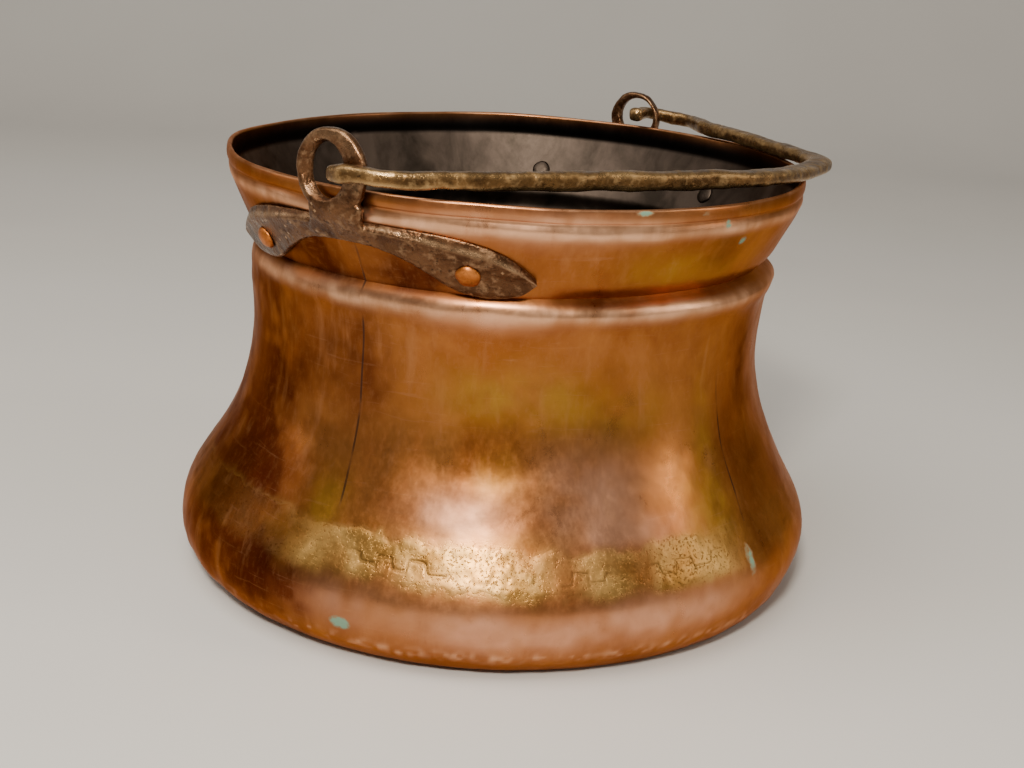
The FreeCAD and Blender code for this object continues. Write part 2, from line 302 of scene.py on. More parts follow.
def wall_loop():
    """The wall's whole section, and how many of its points are outside."""
    body = smooth_line(BODY_LINE, 1.25)
    neck = smooth_line(NECK_LINE, 1.25)
    outer = np.concatenate([body, neck[1:]])
    inner = offset_line(outer, SHEET)
    cap = hem_line()
    loop = np.concatenate([outer, cap, inner[::-1]])
    return loop, len(outer) + len(cap) - 3


def build_wall(node, start, end):
    """One wall sheet between two seams, its edges wandering with them."""
    loop, outer_count = wall_loop()
    thetas = theta_steps(start, end)
    piece, theta, z = shell_piece(node + "_visual", loop, thetas, False, outer_count, seam_groove)
    bend_to_seam(piece)
    paint(piece, theta, z)
    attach(piece, "pot")
    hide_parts(node)
    piece.data.materials.append(MATERIALS["copper"])
    return piece


def bend_to_seam(piece):
    """Turn points near a seam so that the seam wanders instead of running dead straight."""
    co = points_of(piece)
    theta = np.arctan2(co[:, 1], co[:, 0])
    shift = np.zeros(len(co))
    for seam in (LEFT_SEAM, RIGHT_SEAM):
        turn = np.abs((theta - seam + math.pi) % (2 * math.pi) - math.pi)
        shift += seam_wander(co[:, 2] / MM) * np.exp(-(turn / 0.12) ** 2)
    c, s = np.cos(shift), np.sin(shift)
    turned = np.stack([co[:, 0] * c - co[:, 1] * s, co[:, 0] * s + co[:, 1] * c, co[:, 2]], axis=1)
    piece.data.vertices.foreach_set("co", turned.ravel())


def build_seam(node, seam, lowest, highest):
    """The spelter in a vertical seam, which shows as a dark line between two heights."""
    loop, outer_count = wall_loop()
    thetas = np.linspace(seam - SEAM_HALF, seam + SEAM_HALF, 5)
    piece, theta, z = shell_piece(node + "_visual", loop, thetas, False, outer_count, seam_groove)
    bend_to_seam(piece)
    paint(piece, theta, z)
    patchy = 0.30 + 1.0 * lattice_noise(np.stack([0 * z, 0 * z, z], axis=1), 7.0)
    shown = smoothstep(lowest - 4, lowest + 6, z) * (1 - smoothstep(highest - 25, highest + 8, z))
    set_attribute(piece, "gap", np.clip(shown * patchy, 0.0, 0.7))
    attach(piece, "pot")
    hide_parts(node)
    piece.data.materials.append(MATERIALS["seam"])
    return piece


def build_pan():
    """The bottom pan: flat base, hammered corner and round side up to the cramped seam."""
    outer = smooth_line(PAN_LINE, 1.25)
    loop = np.concatenate([outer, offset_line(outer, SHEET)[::-1]])
    loop[loop[:, 0] < 0] = (0.0, 0.0)
    thetas = theta_steps(-math.pi, math.pi)[:-1]
    piece, theta, z = shell_piece("bottom_pan_visual", loop, thetas, True, len(outer))
    paint(piece, theta, z)
    merge_close(piece)
    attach(piece, "pot")
    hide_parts("bottom_pan")
    piece.data.materials.append(MATERIALS["copper"])
    return piece


def merge_close(piece, gap=0.02):
    """Weld points that lie on each other, as at the middle of the base."""
    work = bmesh.new()
    work.from_mesh(piece.data)
    bmesh.ops.remove_doubles(work, verts=work.verts, dist=gap * MM)
    work.to_mesh(piece.data)
    work.free()


# The spelter band over the cramped seam: middle, half height and radius, then the cramps' number,
# reach and steepness, and how deep the band's back lies.
BAND_MID = 48.2
BAND_HALF = 9.6
BAND_R = 147.0
CRAMP_COUNT = 54
CRAMP_REACH = 2.4
CRAMP_EDGE = 4.5
BAND_ROOT = 0.9


def band_fields(theta, z):
    """Spelter thickness, brass colour share and the dark line of the cramps, at points on the side."""
    p = np.stack([BAND_R * np.cos(theta), BAND_R * np.sin(theta), z], axis=1)
    slope = 2.2 * lattice_noise(p * [1, 1, 0] + 90, 60.0)
    level = z - BAND_MID - slope
    ragged = lattice_noise(p, 8.0) * 2.2 + lattice_noise(p + 40, 3.0) * 1.1
    inside = BAND_HALF - np.abs(level) + ragged
    turn = np.degrees(theta)
    away = smoothstep(-104, -84, turn) * (1 - smoothstep(-20, -8, turn))
    strength = 0.10 + 0.30 * (smoothstep(0, 60, turn) + 1 - smoothstep(-175, -140, turn)) + 0.88 * away
    patch = 0.82 + 0.8 * lattice_noise(p * [1, 1, 0.8] + 31, 13.0)
    brass = smoothstep(-2.2, 3.6, inside) * np.clip(strength * patch, 0.12, 0.9)
    phase = theta * CRAMP_COUNT + 1.6 * lattice_noise(p * [1, 1, 0], 22.0)
    square = np.tanh(CRAMP_EDGE * np.sin(phase))
    wave = square * CRAMP_REACH * (0.8 + 0.35 * lattice_noise(p + 61, 9.0))
    steep = np.abs(np.cos(phase)) * (1 - square**2) * CRAMP_EDGE * CRAMP_COUNT / BAND_R * CRAMP_REACH
    above = level - wave + 1.2
    cut = np.exp(-(above / np.sqrt(1 + steep**2) / 0.55) ** 2)
    cut *= smoothstep(-0.2, 0.4, lattice_noise(p + 27, 9.0) + 0.05)
    lift = (0.17 + 0.03 * away) * smoothstep(-1.0, 4.5, inside) + 0.05 * np.tanh(above / 0.6) * brass
    lumps = (lattice_noise(p + 5, 3.4) * 0.07 + lattice_noise(p + 3, 1.7) * 0.06) * brass
    depth = (0.05 + 0.15 * away) * cut
    return lift + lumps - depth - 0.08, brass, np.clip(cut, 0, 1) * (0.3 + 0.7 * away)


def build_band():
    """Spelter run over the dovetailed joint between the pan and the wall, proud of both."""
    pan = smooth_line(PAN_LINE, 0.6)
    body = smooth_line(BODY_LINE, 0.6)
    reach = BAND_HALF + 6
    body = body[1:]
    line = np.concatenate([pan[pan[:, 1] > BAND_MID - reach], body[body[:, 1] < BAND_MID + reach]])
    normal = offset_line(line, -1.0) - line
    thetas = theta_steps(-math.pi, math.pi, 0.25)[:-1]
    columns = len(line)
    rows = len(thetas)
    theta = np.repeat(thetas, columns)
    r = np.tile(line[:, 0], rows)
    z = np.tile(line[:, 1], rows)
    radial, vertical = dents(r, theta, z)
    height, brass, cut = band_fields(theta, z)
    skins = []
    for depth in (height, np.full(len(theta), -BAND_ROOT)):
        out_r = r + radial + np.tile(normal[:, 0], rows) * depth
        out_z = z + vertical + np.tile(normal[:, 1], rows) * depth
        skin = np.stack([out_r * np.cos(theta), out_r * np.sin(theta), out_z], axis=1)
        skins.append(skin.reshape(rows, columns, 3))
    verts = np.concatenate([skins[0], skins[1][:, ::-1]], axis=1).reshape(-1, 3)
    piece = make_object("pan_braze_visual", verts, grid_faces(rows, columns * 2, True, True))

    def both(values):
        """Values of the outer skin repeated for the inner one."""
        sheet = values.reshape(rows, columns)
        return np.concatenate([sheet, sheet[:, ::-1]], axis=1).ravel()

    paint(piece, both(theta), both(z))
    set_attribute(piece, "lining", np.zeros(2 * len(theta)))
    set_attribute(piece, "brass", both(brass))
    set_attribute(piece, "cramp", both(cut))
    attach(piece, "pot")
    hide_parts("pan_braze")
    piece.data.materials.append(MATERIALS["spelter"])
    return piece


# Colour patches on the copper: attribute, angle, height, half width, half height, strength.
# Gold patches and green verdigris are the metal's own. The pink patches from -84 to -28 degrees are
# painted highlight and sheen on the pan, belly, bead and collar; the pink ones further round are pink
# copper.
# The large dark patches are painted shade and dark reflection towards the pot's left and right edges;
# the smaller ones darken the neck and, by the band, make dark spots.
STAINS = [("gold", -58, 118, 34, 13, 0.9), ("gold", -36, 108, 26, 12, 0.7), ("gold", -60, 84, 12, 10, 0.6),
          ("gold", -92, 64, 9, 12, 1.0), ("gold", -17, 60, 16, 18, 1.0), ("gold", -22, 172, 34, 11, 0.8),
          ("gold", -14, 90, 8, 26, 0.6), ("gold", -96, 44, 24, 9, 0.8), ("gold", -60, 60, 40, 5, 0.5),
          ("gold", 60, 110, 30, 20, 0.7), ("gold", 140, 70, 36, 16, 0.8), ("gold", -150, 95, 26, 20, 0.3),
          ("pink", -42, 76, 20, 16, 1.0), ("pink", -66, 68, 20, 9, 0.9), ("pink", -54, 194, 34, 7, 1.0),
          ("pink", -84, 30, 22, 9, 0.6), ("pink", -56, 24, 40, 9, 1.0), ("pink", -28, 28, 34, 9, 1.0),
          ("pink", -64, 152, 26, 5, 0.9), ("pink", -30, 156, 18, 4, 0.8), ("pink", -34, 62, 22, 6, 0.8),
          ("pink", 30, 60, 24, 14, 0.7), ("pink", 170, 50, 40, 12, 0.7), ("pink", 100, 140, 34, 12, 0.5),
          ("dark", -118, 100, 34, 60, 1.0), ("dark", -116, 46, 30, 34, 1.0), ("dark", -150, 70, 60, 70, 1.0),
          ("dark", 4, 124, 18, 50, 0.65), ("dark", 16, 60, 20, 24, 0.35), ("dark", -104, 172, 36, 16, 1.0),
          ("dark", -78, 166, 22, 12, 0.7), ("dark", -140, 165, 50, 24, 1.0), ("dark", -16, 180, 12, 10, 0.6),
          ("dark", -88, 128, 26, 30, 0.6), ("dark", -82, 84, 10, 12, 0.3), ("dark", -100, 30, 30, 20, 0.9),
          ("dark", -70, 176, 16, 8, 0.5), ("dark", 80, 100, 40, 50, 0.5), ("dark", 190, 120, 40, 40, 0.7),
          ("dark", -44, 56, 6, 5, 0.35), ("dark", -30, 52, 7, 4, 0.3), ("dark", -52, 50, 5, 4, 0.25),
          ("green", -19, 193, 1.8, 2.0, 0.9), ("green", -25, 199, 3.6, 1.0, 0.9),
          ("green", -37, 200, 3.5, 1.0, 0.9), ("green", -13, 184, 2.4, 2.0, 0.8),
          ("green", -84, 20, 4.0, 2.6, 1.0), ("green", -10, 40, 3, 7, 0.5),
          ("green", -92, 199.5, 3, 1.2, 0.5), ("green", 52, 198, 5, 1.4, 0.8),
          ("green", 160, 190, 4, 2.5, 0.6)]


def paint(piece, theta, z):
    """Stains, painted highlights and painted shade of the copper at their own places, as numbers on the
    points.
    """
    p = np.stack([SIDE_R * np.cos(theta), SIDE_R * np.sin(theta), z], axis=1)
    ragged = 1 + 0.5 * lattice_noise(p + 7, 14.0) + 0.35 * lattice_noise(p + 19, 5.0)
    totals = {"gold": 0.0, "pink": 0.0, "dark": 0.0, "green": 0.0}
    for kind, angle, height, wide_mm, tall_mm, strength in STAINS:
        totals[kind] = totals[kind] + bump_at(theta, z, (angle, height), (wide_mm, tall_mm)) * strength
    for kind, total in totals.items():
        set_attribute(piece, kind, np.clip(total * ragged, 0.0, 1.0))
    # Edge wear on the bead, the shoulder and the nicked foot; along the rim's top it is partly wear, partly
    # a painted glint.
    edges = np.exp(-((z - 154.0) / 3.2) ** 2) + np.exp(-((z - 190.8) / 2.4) ** 2)
    edges = edges + 0.5 * smoothstep(RIM_Z - 1.6, RIM_Z, z)
    nicks = np.clip(0.05 + 0.7 * lattice_noise(p + 3, 2.2) + 0.5 * lattice_noise(p + 51, 9.0), 0.0, 0.7)
    edges = edges + nicks * np.exp(-((z - 11.5) / 2.6) ** 2)
    # Painted highlight: a bright patch along the front of the collar.
    edges = edges + 1.1 * bump_at(theta, z, (-52, 193.5), (48, 3.5))
    set_attribute(piece, "edge_wear_and_highlight", np.clip(edges * ragged, 0.0, 1.0))
    set_attribute(piece, "brass", band_fields(theta, z)[1])


# ---------------------------------------------------------------- ears, rivets and bail

EYE_THICK = 4.4
# The eyes: outer radius and its middle; the hole's middle, lift, half width and half height at the
# outer and inner face; stem stations (height, left edge, right edge, distance from axis, thickness).
EYES = {
    -1: {"radius": 17.5, "x": -2.6,
         "front_hole": (-6.2, 0.0, 10.3, 12.2), "back_hole": (-3.9, 0.0, 8.4, 11.2),
         "stem": [(196.4, -12.8, 11.6, 141.0, 4.0), (194.8, -13.6, 12.6, 140.9, 4.5),
                  (191.5, -13.6, 12.2, 140.6, 4.5), (188.5, -14.0, 11.4, 139.4, 4.2),
                  (185.5, -15.5, 12.0, 137.6, 3.6), (181.5, -17.0, 13.5, 135.1, 3.1)]},
    1: {"radius": 14.7, "x": -6.0,
        "front_hole": (-4.2, 1.6, 9.9, 10.1), "back_hole": (-4.2, 1.6, 9.7, 9.9),
        "stem": [(195.2, -14.5, 3.5, 141.0, 4.0), (194.0, -15.4, 4.2, 140.9, 4.4),
                 (191.5, -15.8, 4.2, 140.6, 4.4), (188.5, -16.0, 4.6, 139.4, 4.2),
                 (185.5, -17.0, 6.0, 137.6, 3.6), (181.5, -18.5, 8.0, 135.1, 3.1)]},
}
STRAP = 3.4
EAR_GAP = 0.1
# The neck's cone, as two points of its outline (radius, height).
NECK_LOW = (122.7, 160.8)
NECK_HIGH = (136.4, 188.6)
NECK_SLOPE = (NECK_HIGH[0] - NECK_LOW[0]) / (NECK_HIGH[1] - NECK_LOW[1])
# The strap's leaf: its upper and lower edge, as distance to the side and height.
LEAF_TOP = [(0.0, 189.0), (15.0, 189.0), (29.0, 188.6), (40.0, 187.8), (48.0, 186.6), (60.0, 183.2),
            (68.0, 177.6), (74.0, 169.4)]
LEAF_LOW = [(0.0, 180.8), (12.0, 180.0), (22.0, 177.6), (33.0, 171.4), (45.0, 163.4), (57.0, 161.4),
            (67.0, 163.6), (74.0, 169.4)]
EAR_VOXEL = 0.45


def on_neck(x, z, out, side):
    """A point standing out from the neck's cone at a sideways distance x."""
    tilt = math.atan(NECK_SLOPE)
    radius = NECK_LOW[0] + (z - NECK_LOW[1]) * NECK_SLOPE
    y = np.sqrt(np.maximum(radius**2 - x**2, 1.0))
    nx = x / radius * math.cos(tilt)
    ny = y / radius * math.cos(tilt)
    return np.stack([x + nx * out, side * (y + ny * out), z - math.sin(tilt) * out + 0 * x], axis=-1)


def strap_mesh(side):
    """Strap with two leaf-shaped arms, flat in the middle and bevelled at its edges."""
    top = smooth_line(LEAF_TOP, 1.0)
    low = smooth_line(LEAF_LOW, 1.0)
    xs = np.linspace(0.0, 73.6, 76)
    z_top = np.interp(xs, top[:, 0], top[:, 1])
    z_low = np.interp(xs, low[:, 0], low[:, 1])
    xs = np.concatenate([-xs[:0:-1], xs])
    z_top = np.concatenate([z_top[:0:-1], z_top])
    z_low = np.concatenate([z_low[:0:-1], z_low])
    across = [(0.0, 0.0), (0.0, 0.6), (0.05, 0.9), (0.12, 1.0), (0.5, 0.95), (0.82, 1.06), (0.92, 0.66),
              (1.0, 0.25), (1.0, 0.0)]
    rows = []
    for share, lift in across:
        z = z_low + (z_top - z_low) * share
        rows.append(on_neck(xs, z, EAR_GAP + STRAP * lift, side))
    rows.append(on_neck(xs, z_low + (z_top - z_low) * 0.5, EAR_GAP, side))
    verts = np.stack(rows, axis=1).reshape(-1, 3)
    columns = len(rows)
    faces = grid_faces(len(xs), columns, close_columns=True)
    faces.append(tuple(range(columns - 1, -1, -1)))
    faces.append(tuple(range((len(xs) - 1) * columns, len(xs) * columns)))
    return verts, faces


def sweep(centres, sides, ups, widths, depths, squareness, around):
    """A bar of rounded section along a path, with flat ends."""
    angles = np.linspace(0, 2 * math.pi, around, endpoint=False)
    c, s = np.cos(angles), np.sin(angles)
    full = (np.abs(c) ** squareness + np.abs(s) ** squareness) ** (-1 / squareness)
    verts = (centres[:, None] + sides[:, None] * (c * full)[None, :, None] * (widths / 2)[:, None, None]
             + ups[:, None] * (s * full)[None, :, None] * (depths / 2)[:, None, None])
    rows = len(centres)
    faces = grid_faces(rows, around, close_columns=True)
    faces.append(tuple(range(around - 1, -1, -1)))
    faces.append(tuple(range((rows - 1) * around, rows * around)))
    return verts.reshape(-1, 3), faces


def eye_mesh(side):
    """The eye: a forged ring, thin on one limb and broad on the other, its hole flared by wear."""
    shape = EYES[side]
    low, high = box_mm("front_ear" if side < 0 else "back_ear")
    eye_z = high[2] - shape["radius"]
    outer_face = max(abs(low[1]), abs(high[1])) + 0.3
    inner_face = outer_face - EYE_THICK - 0.5
    turns = np.linspace(0, 2 * math.pi, 110, endpoint=False)
    c, s = np.cos(turns), np.sin(turns)
    lumps = 1 + 0.012 * np.sin(3 * turns + 1) + 0.01 * np.sin(7 * turns)
    hip = np.exp(-(((turns - math.radians(318)) / math.radians(26)) ** 2))
    reach = shape["radius"] * (1 + 0.06 * hip) * lumps
    outline = np.stack([shape["x"] + reach * 0.97 * c, reach * s], axis=1)
    holes = []
    for face in ("front_hole", "back_hole"):
        middle, lift, wide, tall = shape[face]
        holes.append(np.stack([middle + wide * c, lift + tall * s], axis=1))
    hole_front, hole_back = holes
    angles = np.linspace(0, 2 * math.pi, 22, endpoint=False)
    full = (np.abs(np.cos(angles)) ** 3.4 + np.abs(np.sin(angles)) ** 3.4) ** (-1 / 3.4)
    across = (1 + np.cos(angles) * full) / 2
    through = (1 + np.sin(angles) * full) / 2
    rows = []
    for u, v in zip(across, through):
        hole = hole_back * (1 - v) + hole_front * v
        flat = hole * (1 - u) + outline * u
        y = side * (inner_face * (1 - v) + outer_face * v)
        rows.append(np.stack([flat[:, 0], np.full(len(flat), y), eye_z + flat[:, 1]], axis=1))
    verts = np.stack(rows, axis=1).reshape(-1, 3)
    return verts, grid_faces(len(turns), len(angles), True, True)


def stem_mesh(side):
    """The broad waist of metal that runs from the eye down into its strap."""
    rows = []
    for z, left, right, distance, thick in EYES[side]["stem"]:
        rows.append((z, (left + right) / 2, right - left, distance, thick))
    table = smooth_line(rows, 1.0)
    centres = np.stack([table[:, 1], side * table[:, 3], table[:, 0]], axis=1)
    across = np.tile([1.0, 0.0, 0.0], (len(table), 1))
    ups = np.tile([0.0, 1.0, 0.0], (len(table), 1))
    return sweep(centres, across, ups, table[:, 2], table[:, 4], squareness=4.5, around=36)


def join_meshes(parts):
    """One list of points and faces from several."""
    verts, faces, base = [], [], 0
    for v, f in parts:
        verts.append(v)
        faces += [tuple(i + base for i in face) for face in f]
        base += len(v)
    return np.concatenate(verts), faces


def remesh(piece, voxel):
    """Fuse a piece's overlapping closed parts into one skin and soften it."""
    bpy.context.view_layer.objects.active = piece
    fuse = piece.modifiers.new("fuse", "REMESH")
    fuse.mode = "VOXEL"
    fuse.voxel_size = voxel * MM
    fuse.use_smooth_shade = True
    soften = piece.modifiers.new("soften", "SMOOTH")
    soften.factor = 0.5
    soften.iterations = 2
    bpy.context.view_layer.update()
    evaluated = piece.evaluated_get(bpy.context.evaluated_depsgraph_get())
    mesh = bpy.data.meshes.new_from_object(evaluated)
    piece.modifiers.clear()
    old = piece.data
    piece.data = mesh
    bpy.data.meshes.remove(old)


def roughen(piece, size, amount, seed):
    """Push every point along its normal by noise, as forging scale and pits do."""
    co = points_of(piece)
    normals = points_of(piece, "normal")
    n = lattice_noise(co / MM + seed, size) + 0.5 * lattice_noise(co / MM + seed + 7, size * 0.4)
    co = co + normals * (n * amount * MM)[:, None]
    piece.data.vertices.foreach_set("co", co.ravel())


def build_ear(node, side):
    """One forged ear, its eye, stem and strap fused into one skin."""
    verts, faces = join_meshes([eye_mesh(side), stem_mesh(side), strap_mesh(side)])
    piece = make_object(node + "_visual", verts, faces)
    fix_normals(piece)
    remesh(piece, EAR_VOXEL)
    roughen(piece, 9.0, 0.22, 5 if side < 0 else 31)
    roughen(piece, 2.2, 0.10, 3 if side < 0 else 23)
    mark_ridge(piece, side)
    piece.data.polygons.foreach_set("use_smooth", [True] * len(piece.data.polygons))
    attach(piece, "pot")
    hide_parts(node)
    piece.data.materials.append(MATERIALS["ear_iron"])
    return piece


def mark_ridge(piece, side):
    """Mark the strap's upper bevel ridge as a painted highlight that is partly edge wear, and the eye's top
    faintly.
    """
    co = points_of(piece) / MM
    x = np.abs(co[:, 0])
    top = smooth_line(LEAF_TOP, 1.0)
    low = smooth_line(LEAF_LOW, 1.0)
    z_top = np.interp(x, top[:, 0], top[:, 1])
    z_low = np.interp(x, low[:, 0], low[:, 1])
    share = (co[:, 2] - z_low) / np.maximum(z_top - z_low, 0.5)
    on_strap = smoothstep(11, 16, x) * (1 - smoothstep(190, 191, co[:, 2]))
    ridge = np.exp(-((share - 0.83) / 0.05) ** 2) * on_strap
    ring = smoothstep(196, 199, co[:, 2]) * smoothstep(139.5, 142.5, side * co[:, 1])
    ring *= np.clip(0.2 + 1.2 * lattice_noise(co, 5.0), 0, 1) * 0.4
    set_attribute(piece, "ridge", np.clip(ridge * (0.75 + 0.6 * lattice_noise(co, 4.0)) + ring, 0, 1))


def fix_normals(piece):
    """Point every face outwards."""
    work = bmesh.new()
    work.from_mesh(piece.data)
    bmesh.ops.recalc_face_normals(work, faces=work.faces)
    work.to_mesh(piece.data)
    work.free()


# The rivets: place on the neck, and a section of (radius, height over the sheet) as the domed head's
# curve and then the straight shank and the burr inside.
RIVET_X = 50.3
RIVET_Z = 172.3
RIVET_DOME = [(0.0, 6.15), (1.6, 6.05), (2.8, 5.75), (3.8, 5.3), (4.6, 4.75), (5.05, 4.2), (5.2, 3.8),
              (5.0, 3.45)]
RIVET_SHANK = [(2.8, 3.45), (2.8, -1.7), (4.6, -1.7), (4.8, -1.95), (4.0, -2.5), (2.2, -2.8), (0.0, -2.85)]
RIVET_SIDES = 40


def build_rivet(node, seed):
    """A hammered copper rivet: domed head, shank through strap and sheet, flat burr inside."""
    low, high = box_mm(node)
    middle = (low + high) / 2
    x = math.copysign(RIVET_X, middle[0])
    radius = NECK_LOW[0] + (RIVET_Z - NECK_LOW[1]) * NECK_SLOPE
    y = math.copysign(math.sqrt(radius**2 - x**2), middle[1])
    axis = Vector((x / radius, y / radius, -NECK_SLOPE)).normalized()
    profile = np.concatenate([smooth_line(RIVET_DOME, 0.45), RIVET_SHANK])
    verts = []
    for k in range(RIVET_SIDES):
        a = 2 * math.pi * k / RIVET_SIDES
        wobble = 1 + 0.035 * math.sin(2 * a + seed) + 0.02 * math.sin(5 * a + 2 * seed)
        for r, h in profile:
            verts.append((r * wobble * math.cos(a), r * wobble * math.sin(a), h))
    verts = np.array(verts)
    faces = grid_faces(RIVET_SIDES, len(profile), close_rows=True)
    turn = np.array(Vector((0, 0, 1)).rotation_difference(axis).to_matrix())
    piece = make_object(node + "_visual", verts @ turn.T + np.array([x, y, RIVET_Z]), faces)
    set_attribute(piece, "lining", (verts[:, 2] < 0).astype(float))
    merge_close(piece)
    fix_normals(piece)
    roughen(piece, 2.2, 0.10, seed * 5)
    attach(piece, "pot")
    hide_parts(node)
    piece.data.materials.append(MATERIALS["rivet"])
    return piece


# The bail's route: x, y, height above the rim, width, depth.
BAIL = [(0.0, -126.0, 6.8, 6.8, 6.8), (0.0, -129.0, 6.8, 7.2, 7.2), (0.0, -134.0, 6.8, 6.3, 6.3),
        (0.0, -140.0, 6.9, 6.2, 6.2), (2.2, -145.6, 7.3, 6.6, 6.6),
        (8.0, -148.0, 8.2, 7.4, 7.6), (16.0, -148.0, 8.9, 6.8, 7.0), (25.0, -147.0, 8.7, 6.4, 6.8),
        (35.0, -139.2, 8.1, 6.4, 6.9), (45.0, -127.0, 7.8, 6.8, 7.2), (57.6, -111.0, 7.5, 7.2, 7.6),
        (71.7, -94.2, 7.2, 7.6, 8.0), (84.8, -76.0, 7.0, 8.0, 8.2), (98.5, -57.2, 6.7, 8.4, 8.2),
        (111.8, -36.2, 6.3, 9.0, 7.8), (124.0, -12.1, 5.6, 10.0, 7.0), (130.2, 20.0, 4.5, 11.6, 6.4),
        (129.8, 50.0, 3.8, 12.2, 6.2), (127.6, 66.0, 3.6, 12.0, 6.2), (121.0, 77.0, 3.5, 11.4, 6.2),
        (110.0, 85.6, 3.6, 10.2, 6.2), (96.0, 95.3, 3.8, 9.0, 6.6), (68.0, 113.0, 4.3, 7.8, 7.0),
        (41.0, 131.0, 4.6, 7.0, 6.8), (33.0, 139.4, 4.5, 6.8, 6.6), (25.0, 146.4, 4.5, 6.6, 6.6),
        (14.0, 148.0, 4.8, 6.6, 6.6), (3.6, 146.8, 6.0, 6.4, 6.4), (0.0, 140.5, 6.8, 6.2, 6.2),
        (0.0, 134.0, 6.8, 6.3, 6.3), (0.0, 129.0, 6.8, 7.2, 7.2), (0.0, 126.0, 6.8, 6.8, 6.8)]


# Swellings left by the hammer along the bar: distance from the front tip, gain, reach.
BAIL_SWELLS = [(26, 0.07, 2.2), (34, -0.05, 3), (58, 0.06, 6), (82, 0.05, 5), (96, -0.04, 5), (122, 0.05, 7),
               (150, 0.04, 4), (168, -0.04, 5), (196, 0.04, 5)]
BAIL_SIDES = 28


def build_bail():
    """The forged bail, hammered from a square bar, with its flattened grip."""
    line = smooth_line([(x, y, RIM_Z + z, w, d) for x, y, z, w, d in BAIL], 0.7)
    centres = line[:, :3]
    tangent = np.gradient(centres, axis=0)
    tangent /= np.linalg.norm(tangent, axis=1)[:, None]
    sides = np.cross(tangent, [0.0, 0.0, 1.0])
    sides /= np.linalg.norm(sides, axis=1)[:, None]
    ups = np.cross(sides, tangent)
    walked = np.concatenate([[0.0], np.cumsum(np.linalg.norm(np.diff(centres, axis=0), axis=1))])
    path = np.stack([walked, np.zeros_like(walked), np.zeros_like(walked)], axis=1)
    swell = sum(gain * np.exp(-((walked - place) / reach) ** 2) for place, gain, reach in BAIL_SWELLS)
    uneven_width = 0.05 * lattice_noise(path, 13.0) + 0.03 * lattice_noise(path + 5, 5.0)
    uneven_depth = 0.06 * lattice_noise(path + 60, 15.0) + 0.03 * lattice_noise(path + 9, 6.0)
    widths = line[:, 3] * (1 + swell + uneven_width)
    depths = line[:, 4] * (1 + swell + uneven_depth)
    centres = centres + ups * (0.35 * lattice_noise(path + 21, 18.0) * smoothstep(30, 45, walked))[:, None]
    verts, faces = sweep(centres, sides, ups, widths, depths, squareness=3.2, around=BAIL_SIDES)
    verts = round_ends(verts, centres)
    piece = make_object("bail_visual", verts, faces)
    fix_normals(piece)
    roughen(piece, 6.5, 0.22, 47)
    roughen(piece, 2.4, 0.08, 61)
    # Painted highlight, partly edge wear: the bar's four corners lightened, broken up along its length.
    corner = np.abs(np.sin(2 * np.linspace(0, 2 * math.pi, BAIL_SIDES, endpoint=False))) ** 3
    corner_wear_and_glint = 0.15 + 1.2 * lattice_noise(path + 77, 8.0) + 0.5 * lattice_noise(path + 12, 2.5)
    corner_wear_and_glint = np.clip(corner_wear_and_glint, 0.0, 1.0)
    set_attribute(piece, "ridge", (corner_wear_and_glint[:, None] * corner[None, :]).ravel() * 0.8)
    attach(piece, "bail")
    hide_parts("bail")
    piece.data.materials.append(MATERIALS["bail_iron"])
    return piece


def round_ends(verts, centres, rounded=4):
    """Draw the first and last rings in, so that the bar's ends are upset and rounded."""
    rings = verts.reshape(len(centres), BAIL_SIDES, 3)
    for step in range(rounded):
        share = math.sin(math.acos(1 - (step + 0.35) / rounded))
        for index in (step, len(centres) - 1 - step):
            rings[index] = centres[index] + (rings[index] - centres[index]) * share
    return rings.reshape(-1, 3)


# ---------------------------------------------------------------- materials

def new_material(name):
    """A material with nothing but its shader and output."""
    material = bpy.data.materials.new(name)
    material.use_nodes = True
    tree = material.node_tree
    tree.nodes.clear()
    output = tree.nodes.new("ShaderNodeOutputMaterial")
    shader = tree.nodes.new("ShaderNodeBsdfPrincipled")
    tree.links.new(shader.outputs["BSDF"], output.inputs["Surface"])
    return material, tree, shader


def noise_node(tree, coords, scale, detail=4.0, rough=0.55, distortion=0.0):
    """A noise texture's factor."""
    node = tree.nodes.new("ShaderNodeTexNoise")
    node.inputs["Scale"].default_value = scale
    node.inputs["Detail"].default_value = detail
    node.inputs["Roughness"].default_value = rough
    node.inputs["Distortion"].default_value = distortion
    tree.links.new(coords, node.inputs["Vector"])
    return node.outputs["Fac"]


def stretched(tree, coords, scale):
    """Coordinates scaled by their own amount each way."""
    node = tree.nodes.new("ShaderNodeMapping")
    node.inputs["Scale"].default_value = scale
    tree.links.new(coords, node.inputs["Vector"])
    return node.outputs["Vector"]


def ramp(tree, value, low, high, out_low=0.0, out_high=1.0):
    """Map a value from one range to another, clamped."""
    node = tree.nodes.new("ShaderNodeMapRange")
    node.inputs["From Min"].default_value = low
    node.inputs["From Max"].default_value = high
    node.inputs["To Min"].default_value = out_low
    node.inputs["To Max"].default_value = out_high
    tree.links.new(value, node.inputs["Value"])
    return node.outputs["Result"]


def mix(tree, factor, a, b):
    """Mix two colours, each a socket or a fixed colour."""
    node = tree.nodes.new("ShaderNodeMix")
    node.data_type = "RGBA"
    tree.links.new(factor, node.inputs[0])
    for socket, value in ((node.inputs[6], a), (node.inputs[7], b)):
        if isinstance(value, tuple):
            socket.default_value = (*value, 1.0)
        else:
            tree.links.new(value, socket)
    return node.outputs[2]


def math_node(tree, operation, a, b):
    """One arithmetic step on sockets or numbers."""
    node = tree.nodes.new("ShaderNodeMath")
    node.operation = operation
    for socket, value in zip(node.inputs, (a, b)):
        if isinstance(value, (int, float)):
            socket.default_value = value
        else:
            tree.links.new(value, socket)
    return node.outputs[0]


